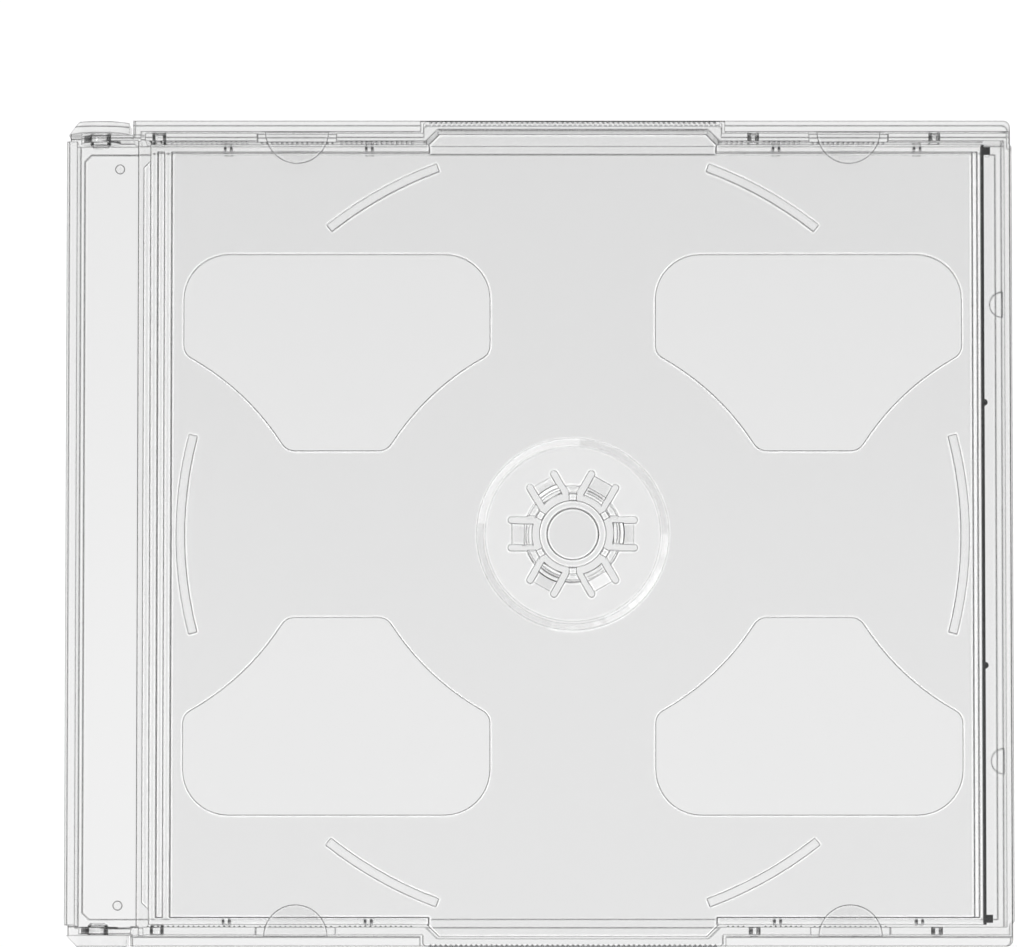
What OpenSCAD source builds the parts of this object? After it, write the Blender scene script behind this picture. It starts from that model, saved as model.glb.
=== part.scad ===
// Double disc case in clear polystyrene: a back cover with the spine, a front cover that
// hinges on it, and a two-sided tray that swings up between them with one disc on each face.
// The spine is on the left, at -X. The case lies on its back, with the front cover on top.
// Origin: the middle of the underside of the closed case.

/* [Case] */
// Length of the case, from the spine to the opening edge
case_l = 142; // [136:1:175]
// Width of the case, along the spine
case_w = 124; // [124:1:150]
// Thickness of the closed case
case_h = 10.4; // [10:0.1:14]
// Thickness of the panel of each cover
panel_t = 1.2; // [0.8:0.1:1.5]
// Thickness of the spine wall
spine_t = 1.6; // [1.2:0.1:2]
// Thickness of the back cover's side walls and front wall
wall_t = 1.2; // [0.9:0.1:1.5]
// Thickness of the front cover's side rails
rail_t = 1.5; // [1:0.1:1.9]
// How far the front cover's edge lies behind the back cover's
cover_setback = 0.3; // [0.1:0.1:1]
// Radius of the front cover's front corners
corner_r = 1; // [0.5:0.1:2]

/* [Grip] */
// Length of the ribbed grip in the middle of each long side
grip_l = 45; // [30:1:60]
// Spacing of the ribs of the grip
rib_pitch = 0.76; // [0.6:0.02:1.4]
// Depth of the grooves of the grip
rib_depth = 0.4; // [0.2:0.05:0.6]
// Height of the ribbed band of the grip
rib_band_h = 4.4; // [2:0.1:6]

/* [Cover hinge] */
// Distance of the hinge pins from the spine face
pin_in = 4.8; // [4.6:0.1:6]
// Diameter of the hinge pins
pin_d = 3.1; // [2:0.1:3.6]
// Diameter of the round end of each hinge arm
arm_d = 6; // [5.4:0.1:6.2]
// Thickness of each hinge arm
arm_t = 1.1; // [0.8:0.1:1.2]
// Chamfer on the outer corner of each hinge ear
ear_chamfer = 1.8; // [0.5:0.1:2.4]

/* [Booklet tabs] */
// Radius of the half-moon tabs
tab_r = 4.8; // [3:0.1:6]
// Thickness of the half-moon tabs
tab_t = 0.8; // [0.5:0.1:1]
// Distance of each tab from the middle of the disc, along the case
tab_off = 41.5; // [36:0.5:45]
// Width of the notch in the side wall that lets a tab in
notch_w = 11.9; // [11:0.1:15]
// Room between the tabs and the panel for the booklet
booklet_t = 0.7; // [0.5:0.1:1]
// Distance of the two booklet stops from the middle of the opening edge
stop_off = 34.3; // [20:0.1:45]
// Radius of the booklet stops
stop_r = 1.9; // [1:0.1:2]

/* [Discs] */
// Diameter of the discs
disc_d = 120; // [110:1:120]
// Diameter of the hole in the discs
disc_bore = 15; // [15:0.1:18]
// Thickness of a disc
disc_t = 1.2; // [1:0.1:1.4]
// Distance of the middle of the discs from the spine face
disc_in = 76; // [75:0.5:77]

/* [Tray] */
// Thickness of the tray's plate
tray_t = 1.2; // [0.8:0.1:1.6]
// Height of the tray's rim above and below the middle of the plate
rim_h = 2.1; // [1.5:0.1:2.3]
// Thickness of the tray's side rims
rim_t = 1.1; // [0.8:0.1:1.3]
// Diameter of the tray's hinge pins
tray_pin_d = 2; // [1.4:0.1:2.2]
// Distance of the tray's hinge pins from the spine face
tray_pin_in = 13.7; // [13.6:0.1:14.2]
// Height of the disc seat and the rim supports above the plate
seat_h = 0.5; // [0.3:0.1:0.6]
// Width of the ribs that carry the rim of a disc
arc_w = 1.2; // [0.8:0.1:1.6]

/* [Windows] */
// Distance of each window's middle from the middle of the disc
window_off = 35.5; // [34:0.5:37]
// Width of a window at its wide end
window_w = 46; // [36:1:46]
// Width of a window at its narrow end
window_neck = 15; // [10:1:20]
// Distance of the wide end from the tray's middle line
window_out = 42.2; // [38:0.2:46]
// Distance of the narrow end from the tray's middle line
window_in = 12.6; // [10:0.2:16]
// Radius of the corners of the wide end
window_r = 6.8; // [3:0.2:8]
// How far each slanted edge bows into the window
window_bow = 1.3; // [0:0.05:2.5]
// Distance over which the corners beside a slanted edge turn
window_turn = 1.3; // [0.5:0.1:2]

/* [Hub] */
// Radius of the flat seat under a disc
seat_r = 13.2; // [11:0.1:16]
// Radius at the foot of the slope round the seat
slope_r = 14.7; // [12:0.1:17]
// Spacing of the two slots beside each finger
slot_gap = 4.15; // [3.6:0.05:4.6]
// Width of a slot
slot_w = 0.92; // [0.6:0.02:1.1]
// Radius at the outer ends of the slots
slot_r = 9.9; // [9:0.1:11]
// Outer radius of the ring in the middle of the hub
ring_r = 5.07; // [4.4:0.01:5.3]
// Wall of the ring in the middle of the hub
ring_t = 1.2; // [0.8:0.1:1.6]
// How far a finger's hook reaches over the disc
hook = 0.3; // [0.1:0.05:0.4]

/* [Hidden] */
$fn = 64;

clear_col = [0.86, 0.9, 0.92, 0.45];

// Gaps between pieces that move on each other
rail_gap = 0.25;
arm_gap = 0.15;
lid_gap = 0.1;
pin_gap = 0.06;
tray_gap = 0.35;
end_gap = 0.4;
floor_gap = 0.3;

// Places along the case
spine_x = -case_l / 2;
front_x = case_l / 2;
disc_x = spine_x + disc_in;
pin_x = spine_x + pin_in;
tray_pin_x = spine_x + tray_pin_in;
cover_x = front_x - cover_setback;
grip_x0 = disc_x - grip_l / 2;
grip_x1 = disc_x + grip_l / 2;
wall_front_x = front_x - wall_t;

// Places across the case
side_y = case_w / 2;
rail_y = side_y - rail_t;
wall_out_y = rail_y - rail_gap;
wall_in_y = wall_out_y - wall_t;
grip_in_y = side_y - wall_t;
arm_out_y = wall_out_y - arm_gap;
arm_in_y = arm_out_y - arm_t;

// Heights
mid_z = case_h / 2;
ceiling_z = case_h - panel_t;
wall_top = ceiling_z - lid_gap;
tab_z = ceiling_z - booklet_t - tab_t;
notch_z = tab_z - 0.4;

// Cover hinge: the rail starts clear of the ear, and the wall clear of the arm's web
ear_r = pin_in;
ear_front = pin_in - 0.4;
rail_start = ear_r + 0.3;
web_end = rail_start + 1.1;
web_drop = arm_d / 2 - 0.6;
panel_start = web_end - 0.3;
wall_start = norm([web_end, web_drop]) + 0.25;
boss_step = 0.25;
pin_tip = 0.4;

// Floor ledge, tray posts and detents of the back cover
ledge_h = 0.6;
ledge_in = 1.25;
ledge_corner = 1;
ledge_front = 0.9;
spine_ledge = 0.6;
post_w = 1.2;
post_d = 0.9;
post_at = [-52, -30.7, 30.7, 52];
front_step = 0.4;
grip_chamfer = 0.4;
grip_jog = 1.8;
detent_at = [27.2, 54.5];
detent_hole_d = 1.8;
nub_d = 1.2;
nub_h = 0.15;

// Tray outline
tray_y = wall_in_y - tray_gap;
tray_mid_y = grip_in_y - 0.3;
tray_back = tray_pin_x - 2.4;
tray_back_step = tray_pin_x - 1.3;
tray_front = wall_front_x - 2.9;
back_rib_t = 1.1;
front_rim_t = 1;
front_step_t = 0.7;
rim_end = grip_l / 2 - 0.9;
lug_l = 1;
lug_w = 1.2;
lug_h = 1.5;
tray_nub_r = 0.5;
tray_nub_off = 19.8;
arc_r = disc_d / 2 - 1;
side_arc = 14.6;
corner_arc = [51.6, 69.8];

// Hub
seat_z = tray_t / 2 + seat_h;
hub_r = disc_bore / 2 - 0.2;
hub_wall = 1.2;
hub_top = seat_z + disc_t + 0.8;
hook_z = seat_z + disc_t + 0.1;
spoke_w = 1.2;
finger_t = 1;
fingers = 6;

over = 1;

function arc(cx, cy, r, a0, a1, n = 10) =
    [for (i = [0:n]) let (a = a0 + (a1 - a0) * i / n) [cx + r * cos(a), cy + r * sin(a)]];

function bend(p0, p1, p2, n = 10, skip = 0) =
    [for (i = [skip:n - skip]) let (t = i / n)
        (1 - t) * (1 - t) * p0 + 2 * t * (1 - t) * p1 + t * t * p2];

// The point a short way from one corner towards the next
function towards(from, to, way) = from + way * (to - from) / norm(to - from);

module both_sides() {
    children();
    mirror([0, 1, 0]) children();
}

// A flat shape drawn in X and Z, given a thickness across the case from y0 to y1
module upright(y0, y1) {
    translate([0, y1, 0])
        rotate([90, 0, 0])
            linear_extrude(y1 - y0) children();
}

// A round bar across the case
module cross_bar(x, y0, y1, z, r) {
    translate([x, y1, z])
        rotate([90, 0, 0])
            cylinder(r = r, h = y1 - y0);
}

// Back cover

// Side wall: it steps outward at the grip, where a disc needs the room
module side_wall_plan() {
    polygon([
        [pin_x + wall_start, wall_in_y],
        [pin_x + wall_start, wall_out_y],
        [grip_x0, wall_out_y],
        [grip_x0, side_y - grip_chamfer],
        [grip_x0 + grip_chamfer, side_y],
        [grip_x1 - grip_chamfer, side_y],
        [grip_x1, side_y - grip_chamfer],
        [grip_x1, wall_out_y],
        [wall_front_x + over / 2, wall_out_y],
        [wall_front_x + over / 2, wall_in_y],
        [grip_x1 - grip_chamfer, wall_in_y],
        [grip_x1 - grip_chamfer - grip_jog, grip_in_y],
        [grip_x0 + grip_chamfer + grip_jog, grip_in_y],
        [grip_x0 + grip_chamfer, wall_in_y]
    ]);
}

// The grooves of the grip, as one toothed strip that is cut away
module grip_grooves() {
    ribbed = grip_l - 4 * grip_chamfer;
    count = floor(ribbed / rib_pitch);
    start = disc_x - count * rib_pitch / 2;
    crest_y = side_y + 0.01;
    bottom = [for (i = [0:count]) each [
        [start + i * rib_pitch, crest_y],
        if (i < count) [start + (i + 0.5) * rib_pitch, side_y - rib_depth]
    ]];
    top = [[start + count * rib_pitch, side_y + over], [start, side_y + over]];
    translate([0, 0, wall_top - 0.4 - rib_band_h])
        linear_extrude(rib_band_h) polygon(concat(bottom, top));
}

// Spine wall's ears: round over the top, so that the rail can swing past
module hinge_ear() {
    intersection() {
        upright(wall_out_y, side_y)
            intersection() {
                union() {
                    translate([pin_x, mid_z]) circle(r = ear_r);
                    translate([spine_x, 0]) square([2 * ear_r, mid_z]);
                }
                translate([spine_x, 0]) square([ear_r + ear_front, case_h]);
            }
        linear_extrude(case_h)
            polygon([
                [spine_x, wall_out_y - over],
                [spine_x, side_y - ear_chamfer],
                [spine_x + ear_chamfer, side_y],
                [pin_x + ear_r, side_y],
                [pin_x + ear_r, wall_out_y - over]
            ]);
    }
    pin_end = arm_in_y - pin_tip / 2;
    cross_bar(pin_x, pin_end, wall_out_y + over / 2, mid_z, pin_d / 2);
    translate([pin_x, pin_end, mid_z])
        rotate([90, 0, 0])
            cylinder(r1 = pin_d / 2, r2 = pin_d / 2 - pin_tip, h = pin_tip);
}

module floor_plan() {
    translate([spine_x, -wall_out_y]) square([front_x - front_step - spine_x, 2 * wall_out_y]);
    both_sides() {
        polygon([
            [spine_x, 0],
            [spine_x, side_y - ear_chamfer],
            [spine_x + ear_chamfer, side_y],
            [pin_x + ear_front, side_y],
            [pin_x + ear_front, 0]
        ]);
        translate([grip_x0 + grip_chamfer, 0]) square([grip_l - 2 * grip_chamfer, side_y]);
    }
}

// Low step round the floor, with cut corners at the spine
module ledge_plan() {
    inner_y = wall_in_y - ledge_in;
    x0 = spine_x + spine_t;
    difference() {
        translate([x0 - over / 2, -wall_in_y])
            square([wall_front_x - x0 + over, 2 * wall_in_y]);
        polygon([
            [x0 + spine_ledge, -inner_y + ledge_corner],
            [x0 + spine_ledge + ledge_corner, -inner_y],
            [wall_front_x - ledge_front, -inner_y],
            [wall_front_x - ledge_front, inner_y],
            [x0 + spine_ledge + ledge_corner, inner_y],
            [x0 + spine_ledge, inner_y - ledge_corner]
        ]);
    }
}

module front_wall_plan() {
    step_y = wall_in_y - front_step;
    polygon([
        [wall_front_x, -wall_out_y],
        [front_x - front_step, -wall_out_y],
        [front_x - front_step, -step_y],
        [front_x, -step_y + front_step],
        [front_x, step_y - front_step],
        [front_x - front_step, step_y],
        [front_x - front_step, wall_out_y],
        [wall_front_x, wall_out_y]
    ]);
}

module back_cover() {
    color(clear_col)
    difference() {
        union() {
            linear_extrude(panel_t) floor_plan();
            translate([0, 0, panel_t / 2])
                linear_extrude(panel_t / 2 + ledge_h) ledge_plan();
            linear_extrude(wall_top) front_wall_plan();
            translate([spine_x, -arm_in_y + arm_gap, 0])
                cube([spine_t, 2 * (arm_in_y - arm_gap), case_h]);
            both_sides() {
                linear_extrude(wall_top) side_wall_plan();
                hinge_ear();
                for (x = post_at)
                    translate([disc_x + x - post_w / 2, tray_y - rim_t + 0.1, panel_t / 2])
                        cube([post_w, post_d, mid_z - rim_h - lid_gap - panel_t / 2]);
            }
        }
        both_sides() {
            grip_grooves();
            for (s = [-1, 1])
                translate([disc_x + s * tab_off - notch_w / 2, wall_in_y - over, notch_z])
                    cube([notch_w, wall_t + 2 * over, case_h]);
            for (x = detent_at)
                cross_bar(disc_x + x, wall_in_y - over, wall_out_y + over, mid_z,
                          detent_hole_d / 2);
            cross_bar(tray_pin_x, wall_in_y - over, wall_out_y + over, mid_z,
                      tray_pin_d / 2 + pin_gap);
        }
    }
}

// Front cover

module cover_plan() {
    fx = cover_x - corner_r;
    fy = side_y - corner_r;
    polygon(concat(
        [[pin_x + panel_start, -arm_in_y], [pin_x + rail_start, -arm_in_y],
         [pin_x + rail_start, -side_y]],
        arc(fx, -fy, corner_r, -90, 0),
        arc(fx, fy, corner_r, 0, 90),
        [[pin_x + rail_start, side_y], [pin_x + rail_start, arm_in_y],
         [pin_x + panel_start, arm_in_y]]
    ));
}

// Side rail in two lengths, one each side of the grip
module rail() {
    intersection() {
        linear_extrude(case_h) cover_plan();
        translate([0, 0, floor_gap])
            linear_extrude(ceiling_z + panel_t / 2 - floor_gap) {
                translate([pin_x + rail_start, rail_y])
                    square([grip_x0 - end_gap - pin_x - rail_start, rail_t + over]);
                translate([grip_x1 + end_gap, rail_y])
                    square([front_x - grip_x1, rail_t + over]);
            }
    }
    for (x = detent_at)
        cross_bar(disc_x + x, rail_y - nub_h, rail_y + rail_t / 2, mid_z, nub_d / 2);
}

// Hinge arm: inside the ear, with a web that carries it from the rail
module hinge_arm() {
    r = arm_d / 2;
    difference() {
        union() {
            cross_bar(pin_x, arm_in_y, arm_out_y, mid_z, r);
            upright(arm_in_y + boss_step, arm_out_y)
                polygon([
                    [pin_x, mid_z - r],
                    [pin_x + rail_start, mid_z - web_drop],
                    [pin_x + web_end, mid_z - web_drop],
                    [pin_x + web_end, mid_z + r],
                    [pin_x, mid_z + r]
                ]);
            translate([pin_x + rail_start, arm_in_y, mid_z - web_drop])
                cube([web_end - rail_start, side_y - arm_in_y - rail_t / 2,
                      ceiling_z + panel_t / 2 - mid_z + web_drop]);
        }
        cross_bar(pin_x, arm_in_y - over, arm_out_y + over, mid_z, pin_d / 2 + pin_gap);
    }
}

module booklet_tab() {
    translate([0, rail_y, tab_z])
        intersection() {
            cylinder(r = tab_r, h = tab_t);
            translate([-tab_r, -tab_r, 0]) cube([2 * tab_r, tab_r + rail_t / 2, tab_t]);
        }
}

module booklet_stop() {
    stop_x = wall_front_x - 0.3;
    translate([stop_x, 0, ceiling_z - booklet_t])
        intersection() {
            cylinder(r = stop_r, h = booklet_t + panel_t / 2);
            translate([-stop_r, -stop_r, 0]) cube([stop_r, 2 * stop_r, case_h]);
        }
}

module front_cover() {
    color(clear_col) {
        translate([0, 0, ceiling_z]) linear_extrude(panel_t) cover_plan();
        both_sides() {
            rail();
            hinge_arm();
            for (s = [-1, 1]) translate([disc_x + s * tab_off, 0, 0]) booklet_tab();
            translate([0, stop_off, 0]) booklet_stop();
        }
    }
}

// Swing tray, drawn about the middle of its plate

module tray_plan() {
    jog0 = grip_l / 2 - grip_chamfer - 0.2;
    jog1 = jog0 - grip_jog;
    cut = tray_back_step - tray_back;
    near_y = tray_y - rim_t;
    half = [
        [tray_back, near_y - 2 * cut],
        [tray_back_step, near_y - cut],
        [tray_back_step, tray_y],
        [disc_x - jog0, tray_y],
        [disc_x - jog1, tray_mid_y],
        [disc_x + jog1, tray_mid_y],
        [disc_x + jog0, tray_y],
        [tray_front, tray_y]
    ];
    other = [for (i = [len(half) - 1:-1:0]) [half[i][0], -half[i][1]]];
    polygon(concat(half, other));
}

// One of the four windows: wide and round outside, narrow towards the hub, bowed flanks
module window_plan() {
    w = window_w / 2;
    neck = window_neck / 2;
    shoulder = window_out - 2.2 * window_r;
    p0 = [w, shoulder];
    p2 = [neck, window_in];
    chord = p2 - p0;
    side = [chord[1], -chord[0]] / norm(chord);
    p1 = (p0 + p2) / 2 + 2 * window_bow * side;
    q0 = towards(p0, p1, window_turn);
    q2 = towards(p2, p1, window_turn);
    right = concat(
        arc(w - window_r, window_out - window_r, window_r, 90, 0),
        bend(p0 + [0, window_turn], p0, q0, 5),
        bend(q0, p1, q2, 10, 1),
        bend(q2, p2, p2 - [window_turn, 0], 5)
    );
    left = [for (i = [len(right) - 1:-1:0]) [-right[i][0], right[i][1]]];
    polygon(concat(right, left));
}

module all_windows() {
    for (s = [-1, 1]) translate([disc_x + s * window_off, 0]) window_plan();
}

module rims() {
    translate([0, 0, -rim_h]) linear_extrude(2 * rim_h) {
        both_sides() {
            translate([tray_back_step, tray_y - rim_t])
                square([disc_x - rim_end - tray_back_step, rim_t]);
            translate([disc_x + rim_end, tray_y - rim_t])
                square([tray_front - disc_x - rim_end, rim_t]);
        }
        rib_y = tray_y - rim_t / 2;
        translate([tray_back_step, -rib_y]) square([back_rib_t, 2 * rib_y]);
        translate([disc_x - disc_d / 2 - 0.4 - back_rib_t, -rib_y])
            square([back_rib_t, 2 * rib_y]);
        translate([tray_front - front_rim_t, -rib_y]) square([front_rim_t, 2 * rib_y]);
    }
    step_h = tray_t / 2 + seat_h;
    translate([tray_front - front_rim_t - front_step_t, -tray_y + rim_t / 2, -step_h])
        cube([front_step_t + over / 2, 2 * tray_y - rim_t, 2 * step_h]);
}

// Two lugs and two round nubs on the tray's front edge
module front_marks() {
    translate([tray_front - over / 2, tray_y - lug_w - 0.3, -lug_h])
        cube([lug_l + over / 2, lug_w, 2 * lug_h]);
    translate([tray_front, tray_nub_off, -lug_h]) cylinder(r = tray_nub_r, h = 2 * lug_h);
}

// Low ribs on both faces that carry the rim of a disc
module arc_rib(a0, a1) {
    rotate([0, 0, a0])
        rotate_extrude(angle = a1 - a0, $fn = 180)
            translate([arc_r - arc_w / 2, -seat_z]) square([arc_w, 2 * seat_z]);
}

module arc_ribs() {
    for (a = [0, 180]) arc_rib(a - side_arc, a + side_arc);
    for (a = [corner_arc, [180 - corner_arc[1], 180 - corner_arc[0]]]) {
        arc_rib(a[0], a[1]);
        arc_rib(a[0] + 180, a[1] + 180);
    }
}

// The turned form of the hub: seat, slope, wall, middle ring and its thin disc
module hub_body() {
    seat = [[hub_r, seat_z], [seat_r, seat_z], [slope_r, tray_t / 2 - 0.1]];
    rotate_extrude() {
        polygon(concat(
            [[hub_r - hub_wall, hub_top - 0.2], [hub_r - 0.2, hub_top - 0.2], [hub_r, hub_top - 0.5]],
            seat,
            [for (i = [len(seat) - 1:-1:0]) [seat[i][0], -seat[i][1]]],
            [[hub_r, -hub_top + 0.5], [hub_r - 0.2, -hub_top + 0.2],
             [hub_r - hub_wall, -hub_top + 0.2]]
        ));
        translate([ring_r - ring_t, -seat_z]) square([ring_t, 2 * seat_z]);
        translate([0, -tray_t / 4]) square([ring_r - ring_t / 2, tray_t / 2]);
    }
}

// Room round one finger: its two slots, and the space above or below its root, which thins
// towards the hub so that it can flex
module finger_cut(up) {
    slot_x = sqrt(slot_r * slot_r - slot_gap * slot_gap / 4) - slot_w / 2;
    inner_x = hub_r - hub_wall - 0.5;
    for (s = [-1, 1]) translate([0, s * slot_gap / 2, -case_h / 2]) {
        translate([inner_x, -slot_w / 2, 0]) cube([slot_x - inner_x, slot_w, case_h]);
        translate([slot_x, 0, 0]) cylinder(r = slot_w / 2, h = case_h, $fn = 24);
    }
    under = seat_z - finger_t;
    mirror([0, 0, up ? 0 : 1])
        upright(-slot_gap / 2, slot_gap / 2)
            polygon([
                [inner_x, under],
                [hub_r, under],
                [slot_x, -seat_z - 0.05],
                [slot_x, -case_h / 2],
                [inner_x, -case_h / 2]
            ]);
}

// The hook at the top of one finger
module finger_hook(up) {
    width = slot_gap - slot_w;
    mirror([0, 0, up ? 0 : 1])
        intersection() {
            translate([0, 0, hook_z])
                cylinder(r1 = hub_r + 0.2 + hook, r2 = hub_r - hub_wall / 2, h = hub_top - hook_z);
            translate([hub_r - hub_wall, -width / 2, 0])
                cube([hub_wall + 2 * hook, width, case_h]);
        }
}

module hub() {
    difference() {
        hub_body();
        for (i = [0:fingers - 1]) rotate([0, 0, i * 360 / fingers]) finger_cut(i % 2 == 0);
    }
    for (i = [0:fingers - 1]) rotate([0, 0, i * 360 / fingers]) finger_hook(i % 2 == 0);
    for (i = [0:fingers - 1]) rotate([0, 0, (i + 0.5) * 360 / fingers])
        translate([ring_r - ring_t / 2, -spoke_w / 2, -tray_t / 2])
            cube([hub_r - hub_wall / 2 - ring_r + ring_t / 2, spoke_w, tray_t]);
}

module swing_tray() {
    color(clear_col)
    translate([0, 0, mid_z]) {
        difference() {
            union() {
                translate([0, 0, -tray_t / 2]) linear_extrude(tray_t) tray_plan();
                rims();
            }
            both_sides() translate([0, 0, -case_h / 2]) linear_extrude(case_h) all_windows();
            translate([disc_x, 0, -case_h / 2]) cylinder(r = seat_r, h = case_h);
        }
        both_sides() {
            front_marks();
            cross_bar(tray_pin_x, tray_y - rim_t / 2, wall_out_y - 0.1, 0, tray_pin_d / 2);
        }
        translate([disc_x, 0, 0]) {
            hub();
            arc_ribs();
        }
    }
}

back_cover();
front_cover();
swing_tray();
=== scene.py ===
import math

import bmesh
import bpy
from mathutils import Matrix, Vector


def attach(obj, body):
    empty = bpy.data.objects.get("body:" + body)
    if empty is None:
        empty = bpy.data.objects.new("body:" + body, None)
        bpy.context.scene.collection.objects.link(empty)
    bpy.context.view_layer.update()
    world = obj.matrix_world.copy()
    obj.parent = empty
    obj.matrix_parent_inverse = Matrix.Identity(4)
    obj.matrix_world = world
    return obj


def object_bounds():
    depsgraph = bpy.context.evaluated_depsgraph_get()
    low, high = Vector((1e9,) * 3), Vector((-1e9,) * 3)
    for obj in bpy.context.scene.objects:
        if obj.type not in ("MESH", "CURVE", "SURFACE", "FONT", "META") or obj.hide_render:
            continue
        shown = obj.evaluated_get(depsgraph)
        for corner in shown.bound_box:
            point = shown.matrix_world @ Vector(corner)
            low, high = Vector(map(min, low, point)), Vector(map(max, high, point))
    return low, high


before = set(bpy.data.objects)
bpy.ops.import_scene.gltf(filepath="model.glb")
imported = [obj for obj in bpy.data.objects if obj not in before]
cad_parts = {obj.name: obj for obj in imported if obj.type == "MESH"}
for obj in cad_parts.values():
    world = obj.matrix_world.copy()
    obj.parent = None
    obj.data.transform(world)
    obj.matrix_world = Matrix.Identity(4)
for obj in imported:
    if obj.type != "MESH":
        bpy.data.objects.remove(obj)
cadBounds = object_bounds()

mm = 0.001
maskSoftness = 0.02 * mm            # how sharply every painted mask ends
noLimit = 2.0                       # above any normal, and any place in metres
weldDistance = 0.0001 * mm
print("frame loaded")


# Colours and node helpers

def hexColour(code):
    # sRGB hex to the linear numbers that the shaders use
    values = [int(code[i:i + 2], 16) / 255 for i in (1, 3, 5)]
    linear = [v / 12.92 if v <= 0.04045 else ((v + 0.055) / 1.055) ** 2.4 for v in values]
    return (*linear, 1.0)


def newMaterial(name):
    material = bpy.data.materials.new(name)
    material.use_nodes = True
    material.node_tree.nodes.clear()
    return material


def addNode(tree, kind, settings=None, links=None):
    # settings: attribute or input socket to value; links: input socket to (node, output socket)
    node = tree.nodes.new(kind)
    for key, value in (settings or {}).items():
        if isinstance(key, str) and hasattr(node, key):
            setattr(node, key, value)
        else:
            node.inputs[key].default_value = value
    for key, (source, output) in (links or {}).items():
        tree.links.new(source.outputs[output], node.inputs[key])
    return node


def strongest(tree, masks):
    # the highest of several masks, each a (node, output) pair
    best = masks[0]
    for mask in masks[1:]:
        higher = addNode(tree, "ShaderNodeMath", {"operation": "MAXIMUM"}, {0: best, 1: mask})
        best = (higher, "Value")
    return best


def together(tree, masks):
    # where all of several masks hold
    shared = masks[0]
    for mask in masks[1:]:
        product = addNode(tree, "ShaderNodeMath", {"operation": "MULTIPLY"}, {0: shared, 1: mask})
        shared = (product, "Value")
    return shared


def between(tree, source, low, high, soft=maskSoftness):
    # 1 where the source lies between low and high, 0 outside
    rise = addNode(tree, "ShaderNodeMapRange", {1: low - soft, 2: low + soft}, {0: source})
    fall = addNode(tree, "ShaderNodeMapRange", {1: high + soft, 2: high - soft}, {0: source})
    return together(tree, [(rise, "Result"), (fall, "Result")])


def inside(tree, spans):
    # 1 where every source lies in its span, each given as (source, low, high)
    return together(tree, [between(tree, source, low, high) for source, low, high in spans])


def distanceFrom(tree, source, origin=0.0):
    # how far a value lies from its origin, to either side
    offset = addNode(tree, "ShaderNodeMath", {"operation": "SUBTRACT", 1: origin}, {0: source})
    reach = addNode(tree, "ShaderNodeMath", {"operation": "ABSOLUTE"}, {0: (offset, "Value")})
    return reach, "Value"


# Clear polystyrene, injection moulded and polished: it bends what lies behind it strongly (IOR
# 1.59). Along each edge a dark line is painted shade, standing in for the view thrown sideways,
# and beside it a pale line is a painted highlight, standing in for light the edge gathers. Both
# come from Bevel nodes, whose rounded normal leans away from the flat one near an edge: a narrow
# one tints the plastic near black, a wide one makes it matt and pale.
clearPlastic = {
    "tint": "#FEFEFE",
    "paintedShadeColour": "#080808",
    "ior": 1.59,
    "roughness": 0.0,
    "darkWidth": 0.27 * mm,
    "paleWidth": 0.65 * mm,
    "paintedHighlightHaze": 0.22,
    "edgeStart": 0.995,             # how the two normals agree where a line starts, and is full
    "edgeFull": 0.97,
    "edgeSamples": 4,
    "shadowTint": "#F8F8F8",
    "flowSize": 22 * mm,            # slow waves where the melt cooled
    "flowHeight": 0.004 * mm,
}

# The tray's painted highlights beside its edges are far brighter than those of the covers
trayPlastic = dict(clearPlastic, paintedHighlightHaze=1.0)

# The wall ribs are too fine for edge lines of their own; their plastic is tinted grey, painted
# shade that makes them read as soft grey ticks
ribPaintedShade = dict(clearPlastic, tint="#606060", paintedHighlightHaze=0.0, darkWidth=0.04 * mm)

# What only the tray has: the matt seat round its hub, the low ribs that carry a disc's rim with a
# faint painted highlight on them, and a painted dark line along its front rim
traySurface = {
    "hubX": 5 * mm,
    "seatInner": 7.3 * mm,          # radii from the hub's middle
    "seatOuter": 13.2 * mm,
    "seatLevel": 0.98,              # only on faces that lie flat
    "seatHaze": 0.02,
    "seatRoughness": 0.22,          # a fine eroded grain
    "arcInner": 57.2 * mm,
    "arcOuter": 60.2 * mm,
    "arcAbove": 0.75 * mm,          # height from the middle of the tray
    "arcPaintedHighlight": 0.03,
    "arcEdges": 0.08,               # what is left of the ribs' own edge lines
    "middleZ": 5.2 * mm,
    "frontStart": 66.5 * mm,        # from here to its edge the front rim is painted dark, a painted reflection of the dark room
    "frontEnd": 70 * mm,
    "frontSoft": 0.03 * mm,
    "frontLevel": 0.9,              # only on its upper side
}

# Painted black shade where the view is thrown sideways so hard that it looks black from above: the
# upright sides of pins and their holes, the tray's posts, and the teeth of the grip
paintedSideShade = {
    "rounds": ((-66.2 * mm, 1.7 * mm, 0.65),    # middle, reach, least lean
               (-63.2 * mm, 0.5 * mm, 0.85),
               (-57.3 * mm, 1.2 * mm, 0.6),
               (32.2 * mm, 1.1 * mm, 0.6),
               (59.5 * mm, 1.1 * mm, 0.6)),
    "bandIn": 58.8 * mm,
    "bandOut": 60.4 * mm,
    "postsFrom": 5 * mm,            # the posts stand evenly to both sides of the disc's middle
    "posts": (30.7 * mm, 52 * mm),
    "postHalf": 0.65 * mm,
    "postGap": 0.25 * mm,
    "postIn": 57.6 * mm,
    "postOut": 58.7 * mm,
    "postBottom": 0.8 * mm,
    "postTop": 3.6 * mm,
    "gripStart": -17.4 * mm,
    "gripEnd": 27.4 * mm,
    "teethIn": 61.5 * mm,
    "teethBottom": 1.5 * mm,
    "teethTop": 8.9 * mm,
    "teethLevel": 0.9,              # only on the ledges, so that the grip stays clear from the side
    "teethAmount": 0.95,
}


# painted black shade on the pins, their holes, the posts and the grip's teeth
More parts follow.
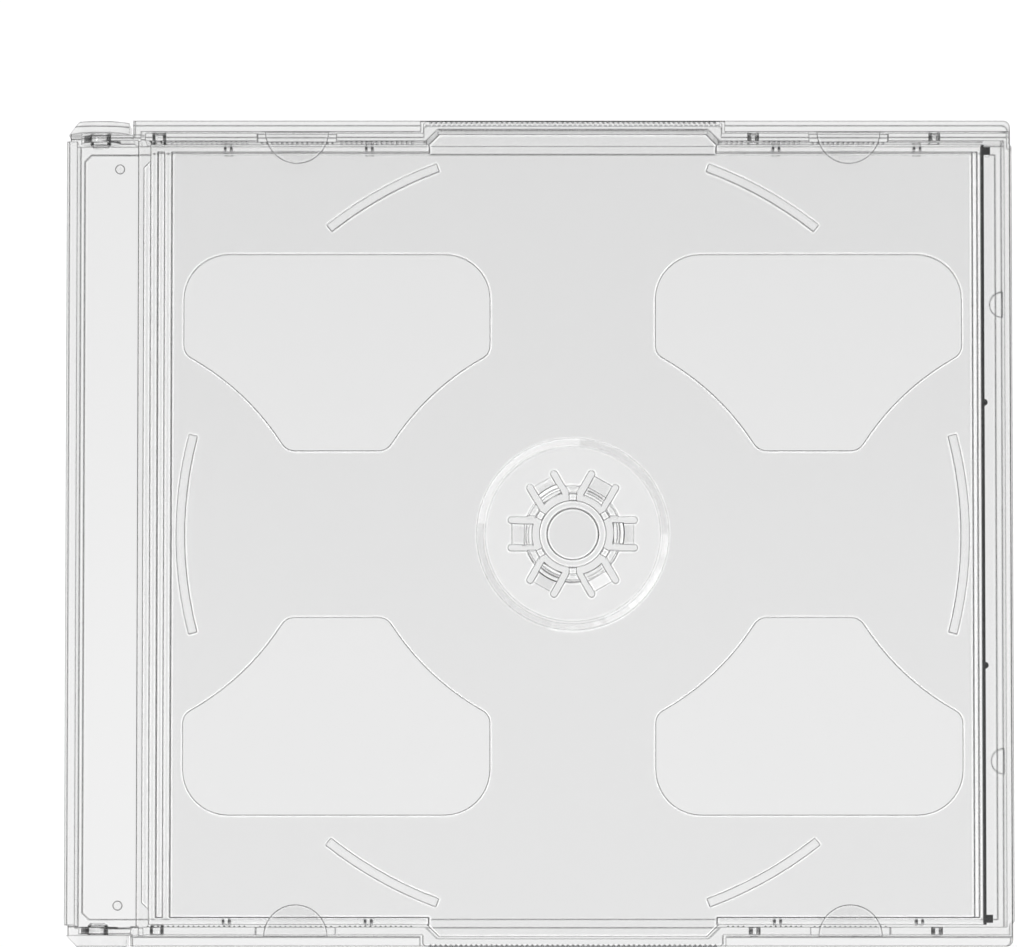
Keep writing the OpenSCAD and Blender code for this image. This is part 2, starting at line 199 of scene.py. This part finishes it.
def paintedBlackShade(tree, place, face, settings):
    at = addNode(tree, "ShaderNodeSeparateXYZ", None, {0: (place, "Object")})
    lean = addNode(tree, "ShaderNodeSeparateXYZ", None, {0: (face, "Normal")})
    side = distanceFrom(tree, (at, "Y"))
    along = distanceFrom(tree, (lean, "X"))
    level = distanceFrom(tree, (lean, "Z"))
    rounds = strongest(tree, [inside(tree, [((at, "X"), middle - reach, middle + reach),
                                            (along, leastLean, noLimit)])
                              for middle, reach, leastLean in settings["rounds"]])
    band = between(tree, side, settings["bandIn"], settings["bandOut"])
    away = distanceFrom(tree, (at, "X"), settings["postsFrom"])
    posts = strongest(tree, [between(tree, distanceFrom(tree, away, middle), settings["postGap"],
                                     settings["postHalf"]) for middle in settings["posts"]])
    foot = inside(tree, [(side, settings["postIn"], settings["postOut"]),
                         ((at, "Z"), settings["postBottom"], settings["postTop"])])
    teeth = inside(tree, [((at, "X"), settings["gripStart"], settings["gripEnd"]),
                          (level, settings["teethLevel"], noLimit),
                          (side, settings["teethIn"], noLimit),
                          ((at, "Z"), settings["teethBottom"], settings["teethTop"])])
    faded = addNode(tree, "ShaderNodeMath",
                    {"operation": "MULTIPLY", 1: settings["teethAmount"]}, {0: teeth})
    return strongest(tree, [together(tree, [rounds, band]), together(tree, [posts, foot]),
                            (faded, "Value")])


def clearPolystyrene(name, settings, shadeMarks, tray=None):
    material = newMaterial(name)
    tree = material.node_tree
    place = addNode(tree, "ShaderNodeTexCoord")
    flow = addNode(tree, "ShaderNodeTexNoise",
                   {"Scale": 1 / settings["flowSize"], "Detail": 0.0},
                   {"Vector": (place, "Object")})
    flowBump = addNode(tree, "ShaderNodeBump",
                       {"Strength": 1.0, "Distance": settings["flowHeight"]},
                       {"Height": (flow, "Fac")})
    face = addNode(tree, "ShaderNodeNewGeometry")

    def nearEdge(radius, amount):
        rounded = addNode(tree, "ShaderNodeBevel",
                          {"samples": settings["edgeSamples"], "Radius": radius})
        lean = addNode(tree, "ShaderNodeVectorMath", {"operation": "DOT_PRODUCT"},
                       {0: (rounded, "Normal"), 1: (face, "Normal")})
        mask = addNode(tree, "ShaderNodeMapRange",
                       {1: settings["edgeStart"], 2: settings["edgeFull"], 4: amount},
                       {0: (lean, "Value")})
        return mask, "Result"

    def scaled(mask, amount, rest=0.0):
        # the amount where the mask holds, the rest elsewhere
        return addNode(tree, "ShaderNodeMapRange", {3: rest, 4: amount}, {0: mask}), "Result"

    # painted shade along every edge, and painted highlights beside it, to which the tray adds its
    # real frosted seat
    paintedShadeLines = [nearEdge(settings["darkWidth"], 1.0)]
    frostAndPaintedHighlight = [nearEdge(settings["paleWidth"], settings["paintedHighlightHaze"])]
    paintedBlack = paintedBlackShade(tree, place, face, shadeMarks)
    shader = addNode(tree, "ShaderNodeBsdfPrincipled",
                     {"IOR": settings["ior"], "Roughness": settings["roughness"]},
                     {"Normal": (flowBump, "Normal")})
    if tray:
        centred = addNode(tree, "ShaderNodeMapping",
                          {"Location": (-tray["hubX"], 0, 0), "Scale": (1, 1, 0)},
                          {"Vector": (place, "Object")})
        radius = addNode(tree, "ShaderNodeVectorMath", {"operation": "LENGTH"},
                         {0: (centred, "Vector")})
        upward = addNode(tree, "ShaderNodeSeparateXYZ", None, {0: (face, "Normal")})
        seat = inside(tree, [((radius, "Value"), tray["seatInner"], tray["seatOuter"]),
                             (distanceFrom(tree, (upward, "Z")), tray["seatLevel"], noLimit)])
        grain, grainOutput = scaled(seat, tray["seatRoughness"])
        tree.links.new(grain.outputs[grainOutput], shader.inputs["Roughness"])
        frostAndPaintedHighlight.append(scaled(seat, tray["seatHaze"]))

        # the disc ribs' own edges are soft, so their painted edge shade and painted highlights are
        # mostly taken away, and a faint painted highlight of matt white lies over them instead
        at = addNode(tree, "ShaderNodeSeparateXYZ", None, {0: (place, "Object")})
        height = distanceFrom(tree, (at, "Z"), tray["middleZ"])
        arc = inside(tree, [((radius, "Value"), tray["arcInner"], tray["arcOuter"]),
                            (height, tray["arcAbove"], noLimit)])
        plain = scaled(arc, tray["arcEdges"], 1.0)
        paintedShadeLines[0] = together(tree, [paintedShadeLines[0], plain])
        frostAndPaintedHighlight[0] = together(tree, [frostAndPaintedHighlight[0], plain])
        frostAndPaintedHighlight.append(scaled(arc, tray["arcPaintedHighlight"]))

        # painted shade on the front rim's upper side, a painted reflection of the dark room
        front = between(tree, (at, "X"), tray["frontStart"], tray["frontEnd"], tray["frontSoft"])
        top = addNode(tree, "ShaderNodeMath", {"operation": "GREATER_THAN", 1: tray["frontLevel"]},
                      {0: (upward, "Z")})
        paintedShadeLines.append(together(tree, [front, (top, "Value")]))

    # painted black shade: a tint doesn't act where the plastic mirrors all light inside, so these
    # painted marks are opaque
    shade = strongest(tree, paintedShadeLines + [paintedBlack])
    tint = addNode(tree, "ShaderNodeMix",
                   {"data_type": "RGBA", 6: hexColour(settings["tint"]),
                    7: hexColour(settings["paintedShadeColour"])},
                   {0: shade})
    clear = strongest(tree, [scaled(strongest(tree, frostAndPaintedHighlight), 0.0, 1.0), shade])
    through = addNode(tree, "ShaderNodeMath", {"operation": "SUBTRACT", "use_clamp": True},
                      {0: clear, 1: paintedBlack})
    tree.links.new(tint.outputs[2], shader.inputs["Base Color"])
    tree.links.new(through.outputs["Value"], shader.inputs["Transmission Weight"])

    # light from the lamps goes on to what lies under the plastic
    lampLight = addNode(tree, "ShaderNodeBsdfTransparent",
                        {"Color": hexColour(settings["shadowTint"])})
    ray = addNode(tree, "ShaderNodeLightPath")
    both = addNode(tree, "ShaderNodeMixShader", None,
                   {0: (ray, "Is Shadow Ray"), 1: (shader, "BSDF"), 2: (lampLight, "BSDF")})
    addNode(tree, "ShaderNodeOutputMaterial", None, {"Surface": (both, "Shader")})
    return material


coverMaterial = clearPolystyrene("clearPolystyreneMoulded", clearPlastic, paintedSideShade)
trayMaterial = clearPolystyrene("clearPolystyreneTray", trayPlastic, paintedSideShade, traySurface)
ribPaintedShadeMaterial = clearPolystyrene("clearPolystyreneRibsPaintedShade", ribPaintedShade, paintedSideShade)

for name, material in (("back_cover", coverMaterial), ("front_cover", coverMaterial),
                       ("swing_tray", trayMaterial)):
    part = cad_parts[name]
    if not part.material_slots:
        part.data.materials.append(material)
    for slot in part.material_slots:
        slot.material = material
print("case and tray finished in clear polystyrene")


def finishPiece(name, bm, material, body):
    bmesh.ops.remove_doubles(bm, verts=bm.verts, dist=weldDistance)
    bmesh.ops.recalc_face_normals(bm, faces=bm.faces)
    mesh = bpy.data.meshes.new(name)
    bm.to_mesh(mesh)
    bm.free()
    piece = bpy.data.objects.new(name, mesh)
    bpy.context.scene.collection.objects.link(piece)
    piece.data.materials.append(material)
    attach(piece, body)


# Fine upright ribs on the inner faces of the side walls, from the spine's strip to the front
# wall, lower where the booklet tabs reach in over them
wallRibs = {
    "pitch": 0.76 * mm,
    "width": 0.38 * mm,
    "height": 0.2 * mm,
    "wallFace": 59.05 * mm,
    "sunk": 0.01 * mm,
    "bottom": 3.2 * mm,
    "top": 9.0 * mm,
    "notchTop": 7.2 * mm,
    "runs": ((-58.9 * mm, -43.0 * mm, "top"), (-42.2 * mm, -30.8 * mm, "notchTop"),
             (-30.2 * mm, -18.4 * mm, "top"), (27.8 * mm, 31.0 * mm, "top"),
             (33.4 * mm, 40.2 * mm, "top"), (40.8 * mm, 52.2 * mm, "notchTop")),
}


def buildWallRibs(settings, side):
    bm = bmesh.new()
    for start, end, level in settings["runs"]:
        count = int((end - start) / settings["pitch"])
        for i in range(count):
            x = start + (i + 0.5) * settings["pitch"]
            faceY = side * (settings["wallFace"] - settings["sunk"])
            tipY = faceY - side * settings["height"]
            corners = [(x - settings["width"] / 2, faceY), (x + settings["width"] / 2, faceY),
                       (x, tipY)]
            foot = [bm.verts.new((cx, cy, settings["bottom"])) for cx, cy in corners]
            grown = bmesh.ops.extrude_face_region(bm, geom=[bm.faces.new(foot)])
            raised = [v for v in grown["geom"] if isinstance(v, bmesh.types.BMVert)]
            bmesh.ops.translate(bm, verts=raised, vec=(0, 0, settings[level] - settings["bottom"]))
    return bm


sides = ((1, "far"), (-1, "near"))

for side, label in sides:
    finishPiece("wallRibs." + label, buildWallRibs(wallRibs, side), ribPaintedShadeMaterial,
                "base")
print("wall ribs added")

# Round marks that the ejector pins leave on the floor of the strip beside the spine
ejectorMarks = {
    "x": -63.5 * mm,
    "y": 55.7 * mm,
    "radius": 0.75 * mm,
    "floorTop": 1.2 * mm,
    "height": 0.08 * mm,
    "sunk": 0.02 * mm,
    "edge": 0.03 * mm,
    "facets": 40,
}


def buildEjectorMark(settings, side):
    bm = bmesh.new()
    depth = settings["height"] + settings["sunk"]
    middleZ = settings["floorTop"] - settings["sunk"] + depth / 2
    bmesh.ops.create_cone(bm, cap_ends=True, segments=settings["facets"], depth=depth,
                          radius1=settings["radius"], radius2=settings["radius"])
    bmesh.ops.translate(bm, verts=bm.verts,
                        vec=(settings["x"], side * settings["y"], middleZ))
    rim = [e for e in bm.edges if all(v.co.z > settings["floorTop"] for v in e.verts)]
    bmesh.ops.bevel(bm, geom=rim, offset=settings["edge"], segments=2, profile=0.5,
                    affect="EDGES", material=-1)
    return bm


for side, label in sides:
    finishPiece("ejectorMark." + label, buildEjectorMark(ejectorMarks, side), coverMaterial,
                "base")
print("ejector marks added")


# Floor, light and camera

def whiteFloor(settings):
    # matt white paper, lit from below as well; what the plastic shows of it is painted shadow, a
    # plain glow a little darker than the paper and darker towards the far side, standing in for the
    # case keeping the room's light off the paper under it
    material = newMaterial("paperSweepWhite")
    tree = material.node_tree
    paper = addNode(tree, "ShaderNodeBsdfDiffuse", {"Color": hexColour(settings["paper"])})
    glow = addNode(tree, "ShaderNodeEmission",
                   {"Color": (1, 1, 1, 1), "Strength": settings["glow"]})
    seen = addNode(tree, "ShaderNodeAddShader", None, {0: (paper, 0), 1: (glow, 0)})
    place = addNode(tree, "ShaderNodeTexCoord")
    axes = addNode(tree, "ShaderNodeSeparateXYZ", None, {0: (place, "Object")})
    shaded = addNode(tree, "ShaderNodeMapRange",
                     {1: settings["farY"], 2: settings["nearY"],
                      3: settings["paintedShadowFar"], 4: settings["paintedShadowNear"]},
                     {0: (axes, "Y")})
    through = addNode(tree, "ShaderNodeEmission", {"Color": (1, 1, 1, 1)},
                      {"Strength": (shaded, "Result")})
    ray = addNode(tree, "ShaderNodeLightPath")
    both = addNode(tree, "ShaderNodeMixShader", None,
                   {0: (ray, "Is Camera Ray"), 1: (through, 0), 2: (seen, 0)})
    addNode(tree, "ShaderNodeOutputMaterial", None, {"Surface": (both, 0)})
    return material


stage = {
    "size": 6.0,
    "below": 0.02 * mm,             # just under the case's flat back
    "paper": "#888888",
    "glow": 0.8,
    "farY": 60 * mm,
    "nearY": -20 * mm,
    # painted shadow under the case, at the far side and at the near side
    "paintedShadowFar": 0.876,
    "paintedShadowNear": 0.93,
}

bm = bmesh.new()
bmesh.ops.create_grid(bm, x_segments=1, y_segments=1, size=stage["size"] / 2)
floorMesh = bpy.data.meshes.new("floor")
bm.to_mesh(floorMesh)
bm.free()
floor = bpy.data.objects.new("floor", floorMesh)
floor.location = (0, 0, -stage["below"])
bpy.context.scene.collection.objects.link(floor)
floor.data.materials.append(whiteFloor(stage))

# The room: a white backdrop all round near the floor, a dark room above it, and a pale patch of
# ceiling straight over the case, a little darker to the far side
room = {
    "backdrop": 1.0,
    "backdropTop": 0.12,            # heights in the sky, as sines
    "darkFrom": 0.45,
    "darkRoom": 0.04,
    "patchEdge": 0.9,
    "patchFull": 0.975,
    "ceilingFar": 0.34,
    "ceilingNear": 0.46,
    "nearLean": 0.0,                # leans towards the far side, as sines
    "farLean": 0.12,
    "softLight": 0.12,              # what the room adds to matt surfaces
}


def buildRoom(settings):
    world = bpy.data.worlds.new("studio")
    bpy.context.scene.world = world
    world.use_nodes = True
    tree = world.node_tree
    tree.nodes.clear()
    sky = addNode(tree, "ShaderNodeTexCoord")
    axes = addNode(tree, "ShaderNodeSeparateXYZ", None, {0: (sky, "Generated")})
    backdrop = addNode(tree, "ShaderNodeMapRange",
                       {1: settings["darkFrom"], 2: settings["backdropTop"],
                        3: settings["darkRoom"], 4: settings["backdrop"]},
                       {0: (axes, "Z")})
    ceiling = addNode(tree, "ShaderNodeMapRange",
                      {1: settings["farLean"], 2: settings["nearLean"],
                       3: settings["ceilingFar"], 4: settings["ceilingNear"]},
                      {0: (axes, "Y")})
    patch = addNode(tree, "ShaderNodeMapRange",
                    {1: settings["patchEdge"], 2: settings["patchFull"]},
                    {0: (axes, "Z"), 4: (ceiling, "Result")})
    shown = strongest(tree, [(backdrop, "Result"), (patch, "Result")])
    ray = addNode(tree, "ShaderNodeLightPath")
    looked = strongest(tree, [(ray, "Is Camera Ray"), (ray, "Is Glossy Ray"),
                              (ray, "Is Transmission Ray")])
    strength = addNode(tree, "ShaderNodeMix", {"data_type": "FLOAT", 2: settings["softLight"]},
                       {0: looked, 3: shown})
    background = addNode(tree, "ShaderNodeBackground", {"Color": (1, 1, 1, 1)},
                         {"Strength": (strength, 0)})
    addNode(tree, "ShaderNodeOutputWorld", None, {"Surface": (background, "Background")})


buildRoom(room)

# Metres and watts
lamps = {
    "keySoftbox": {"place": (-0.75, 1.05, 0.95), "size": 1.8, "power": 32},
    "fillSoftbox": {"place": (1.1, -0.6, 0.8), "size": 1.4, "power": 16},
}
for name, lamp in lamps.items():
    light = bpy.data.lights.new(name, "AREA")
    light.shape = "SQUARE"
    light.size = lamp["size"]
    light.energy = lamp["power"]
    holder = bpy.data.objects.new(name, light)
    holder.location = lamp["place"]
    holder.visible_camera = False
    # a softbox mirrored in the flat covers would hide what lies under them
    holder.visible_glossy = False
    holder.rotation_euler = (-Vector(lamp["place"])).to_track_quat("-Z", "Y").to_euler()
    bpy.context.scene.collection.objects.link(holder)

view = {
    "distance": 1.2,                # far off, so that the case hardly tapers
    "tilt": math.radians(4),        # the far wall's inner face shows, as in the photograph
    "pixelsPerMm": 6.647,
    "frameWidth": 1017,
    "frameHeight": 947,
    "originAt": (539.5, 534.5),     # where the middle of the case falls in the photograph's frame
    "sensor": 36.0,
    "clipStart": 0.01,
    "clipEnd": 50,
}
cameraData = bpy.data.cameras.new("camera")
camera = bpy.data.objects.new("camera", cameraData)
bpy.context.scene.collection.objects.link(camera)
middle = Vector((0, 0, cadBounds[1][2] / 2))
toCamera = Vector((0, -math.sin(view["tilt"]), math.cos(view["tilt"])))
camera.location = middle + view["distance"] * toCamera
camera.rotation_euler = (view["tilt"], 0, 0)
frameAcross = view["frameWidth"] / view["pixelsPerMm"] * mm
cameraData.sensor_width = view["sensor"]
cameraData.lens = view["sensor"] * view["distance"] / frameAcross
cameraData.shift_x = (view["frameWidth"] / 2 - view["originAt"][0]) / view["frameWidth"]
cameraData.shift_y = (view["originAt"][1] - view["frameHeight"] / 2) / view["frameWidth"]
cameraData.clip_start = view["clipStart"]
cameraData.clip_end = view["clipEnd"]
bpy.context.scene.camera = camera
bpy.context.scene.view_settings.view_transform = "Standard"
print("stage, light and camera set")
